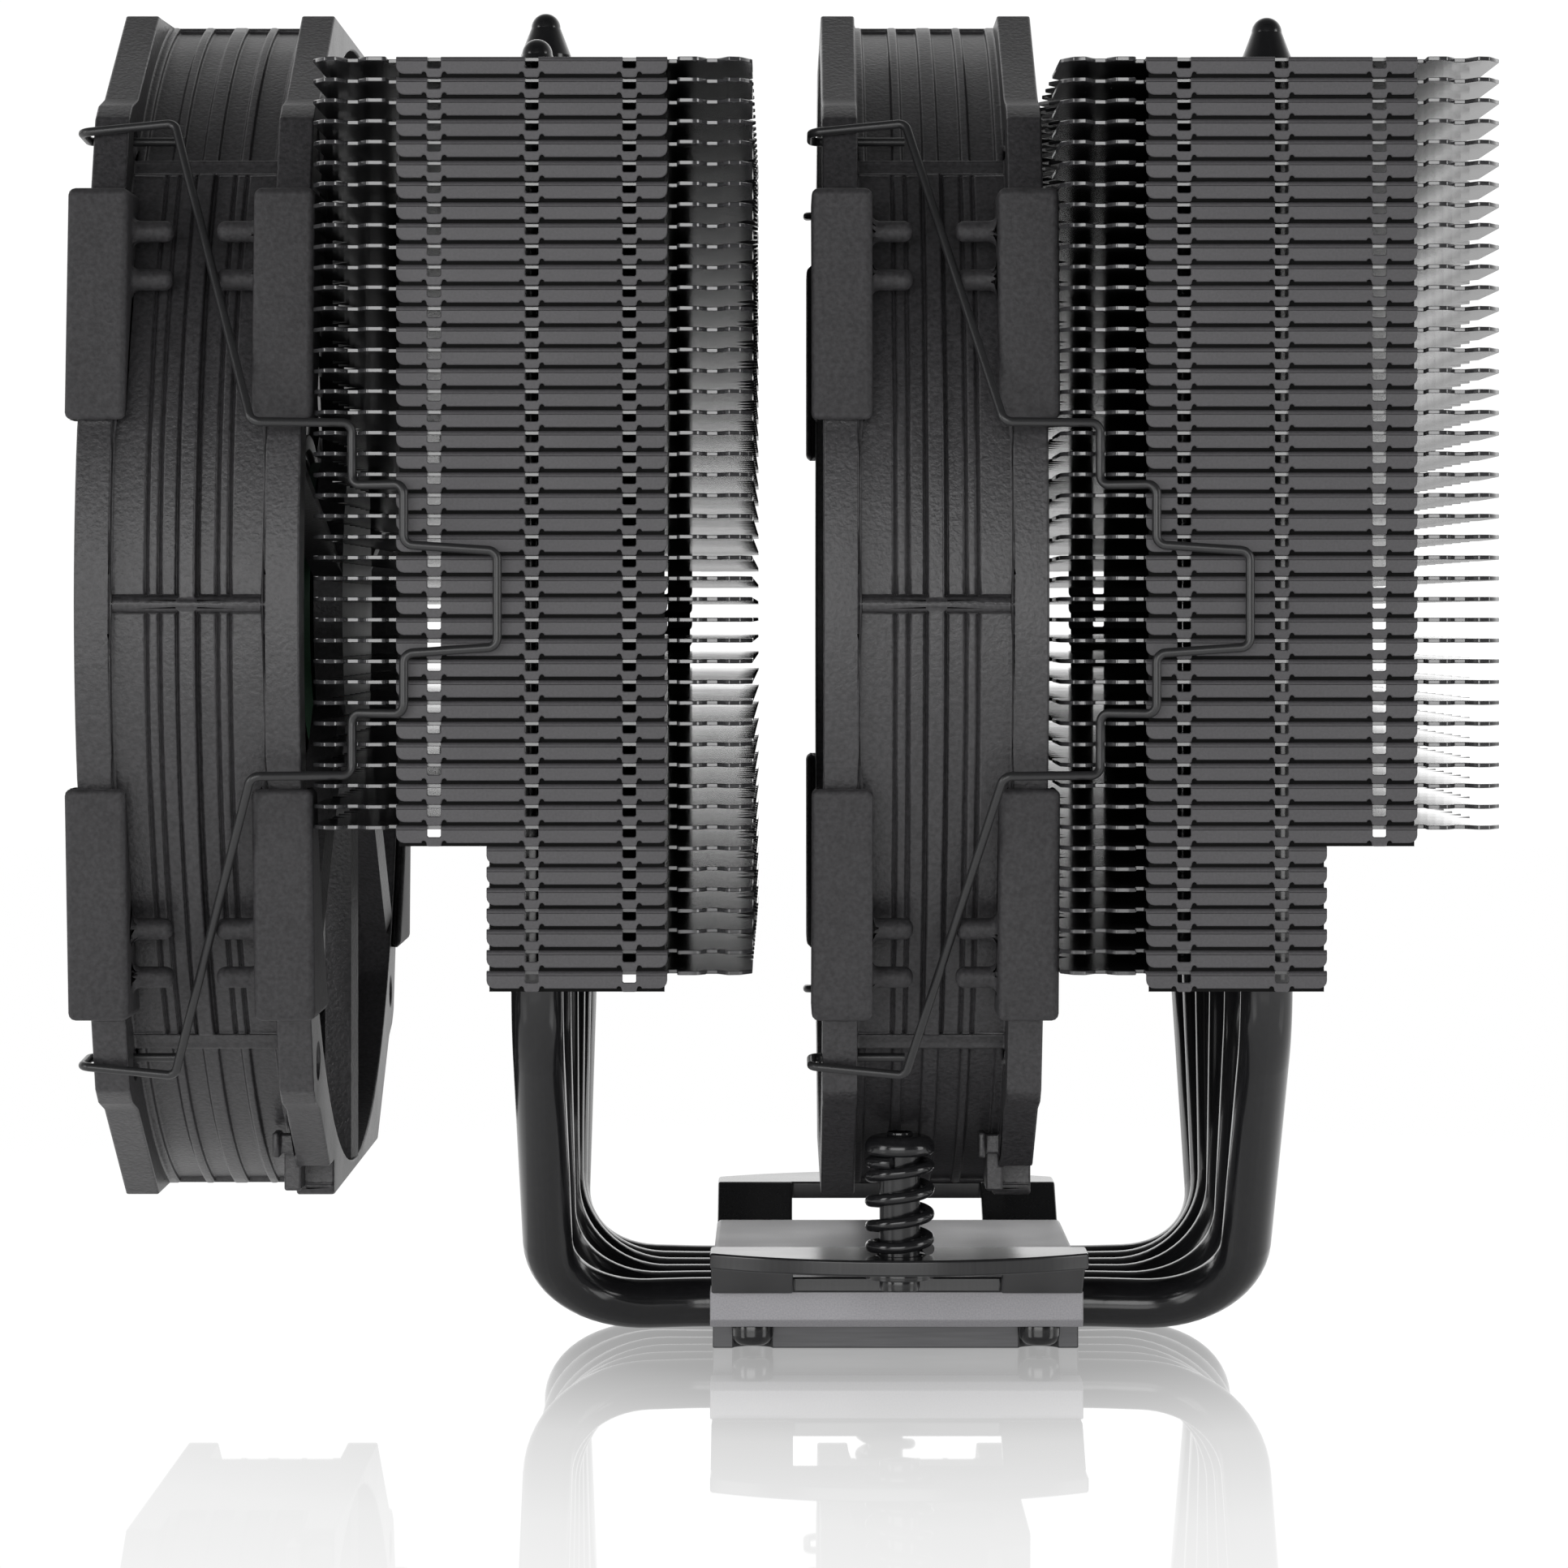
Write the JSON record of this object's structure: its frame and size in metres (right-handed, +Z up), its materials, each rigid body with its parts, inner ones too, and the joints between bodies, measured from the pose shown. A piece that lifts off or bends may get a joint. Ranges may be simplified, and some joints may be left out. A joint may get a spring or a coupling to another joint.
{
  "type": "cpu tower cooler",
  "caption": "Black tower air cooler with stacked fins, U-shaped heat pipes, fans held by wire clips, and captive spring screws.",
  "frame": {"origin": "centre of the contact face under the base", "axes": "+X along the air flow, +Y across the cooler, +Z up from the processor through the towers"},
  "size_m": [0.1598, 0.155, 0.161],
  "materials": {
    "fins": "black powder coat, fine grain",
    "pipes": "gloss black coat over copper",
    "contact_plate": "machined and plated",
    "base_block": "satin grey coat",
    "bracket": "gloss black",
    "screws": "gloss black",
    "springs": "gloss black",
    "clips": "satin black",
    "pads": "matt black silicone",
    "fan_frame": "fine-grained charcoal plastic",
    "impeller": "satin black plastic",
    "hub_cap": "satin black, blank",
    "motor_steel": "plain steel",
    "magnet": "bonded ferrite",
    "bearing": "sintered bronze",
    "winding": "enamelled copper wire",
    "board": "green circuit board"
  },
  "bodies": {
    "root": {"base_plate": "contact_plate", "base_top_block": "base_block", "centre_fan_bearing_sleeve": "bearing", "centre_fan_circuit_board": "board", "centre_fan_coils": "winding", "centre_fan_frame": "fan_frame", "centre_fan_inlet_pads": "pads", "centre_fan_motor_mount": "fan_frame", "centre_fan_outlet_pads": "pads", "centre_fan_stator_core": "motor_steel", "far_base_rail": "base_block", "far_bracket": "bracket", "far_rail_screws": "screws", "front_fan_bearing_sleeve": "bearing", "front_fan_circuit_board": "board", "front_fan_coils": "winding", "front_fan_frame": "fan_frame", "front_fan_inlet_pads": "pads", "front_fan_motor_mount": "fan_frame", "front_fan_outlet_pads": "pads", "front_fan_stator_core": "motor_steel", "front_tower_lower_fins": "fins", "front_tower_upper_fins": "fins", "heat_pipe_1": "pipes", "heat_pipe_2": "pipes", "heat_pipe_3": "pipes", "heat_pipe_4": "pipes", "heat_pipe_5": "pipes", "heat_pipe_6": "pipes", "near_base_rail": "base_block", "near_bracket": "bracket", "near_rail_screws": "screws", "rear_tower_lower_fins": "fins", "rear_tower_upper_fins": "fins"},
    "front_fan_rotor": {"front_fan_hub_cap": "hub_cap", "front_fan_impeller": "impeller", "front_fan_magnet_ring": "magnet", "front_fan_rotor_yoke": "motor_steel", "front_fan_shaft": "motor_steel"},
    "centre_fan_rotor": {"centre_fan_hub_cap": "hub_cap", "centre_fan_impeller": "impeller", "centre_fan_magnet_ring": "magnet", "centre_fan_rotor_yoke": "motor_steel", "centre_fan_shaft": "motor_steel"},
    "front_fan_near_clip": {"front_fan_near_clip": "clips"},
    "front_fan_far_clip": {"front_fan_far_clip": "clips"},
    "centre_fan_near_clip": {"centre_fan_near_clip": "clips"},
    "centre_fan_far_clip": {"centre_fan_far_clip": "clips"},
    "near_ring": {"near_retaining_ring": "springs", "near_pressure_spring": "springs"},
    "near_screw": {"near_spring_screw": "screws"},
    "far_ring": {"far_retaining_ring": "springs", "far_pressure_spring": "springs"},
    "far_screw": {"far_spring_screw": "screws"}
  },
  "joints": [
    {"name": "front_fan_spin", "type": "hinge", "parent": "root", "child": "front_fan_rotor", "pos_m": [-0.0797, 0, 0.0904], "axis": [1, 0, 0], "continuous": true},
    {"name": "front_fan_near_clip_swing", "type": "hinge", "parent": "root", "child": "front_fan_near_clip", "pos_m": [-0.09345, -0.0525, 0.0904], "axis": [0, 0, -1], "range_deg": [0, 12], "stiffness_Nm_per_rad": 0.05},
    {"name": "front_fan_far_clip_swing", "type": "hinge", "parent": "root", "child": "front_fan_far_clip", "pos_m": [-0.09345, 0.0525, 0.0904], "axis": [0, 0, 1], "range_deg": [0, 12], "stiffness_Nm_per_rad": 0.05},
    {"name": "centre_fan_spin", "type": "hinge", "parent": "root", "child": "centre_fan_rotor", "pos_m": [0.0033, 0, 0.0904], "axis": [1, 0, 0], "continuous": true},
    {"name": "centre_fan_near_clip_swing", "type": "hinge", "parent": "root", "child": "centre_fan_near_clip", "pos_m": [-0.01045, -0.0525, 0.0904], "axis": [0, 0, -1], "range_deg": [0, 12], "stiffness_Nm_per_rad": 0.05},
    {"name": "centre_fan_far_clip_swing", "type": "hinge", "parent": "root", "child": "centre_fan_far_clip", "pos_m": [-0.01045, 0.0525, 0.0904], "axis": [0, 0, 1], "range_deg": [0, 12], "stiffness_Nm_per_rad": 0.05},
    {"name": "near_screw_press", "type": "slide", "parent": "root", "child": "near_ring", "axis": [0, 0, -1], "range_m": [0, 0.004], "stiffness_N_per_m": 3000, "springref_m": -0.002, "deforming": ["near_pressure_spring"]},
    {"name": "near_screw_turn", "type": "hinge", "parent": "near_ring", "child": "near_screw", "pos_m": [0, -0.0415, 0.02], "axis": [0, 0, 1], "continuous": true},
    {"name": "far_screw_press", "type": "slide", "parent": "root", "child": "far_ring", "axis": [0, 0, -1], "range_m": [0, 0.004], "stiffness_N_per_m": 3000, "springref_m": -0.002, "deforming": ["far_pressure_spring"]},
    {"name": "far_screw_turn", "type": "hinge", "parent": "far_ring", "child": "far_screw", "pos_m": [0, 0.0415, 0.02], "axis": [0, 0, 1], "continuous": true}
  ]
}
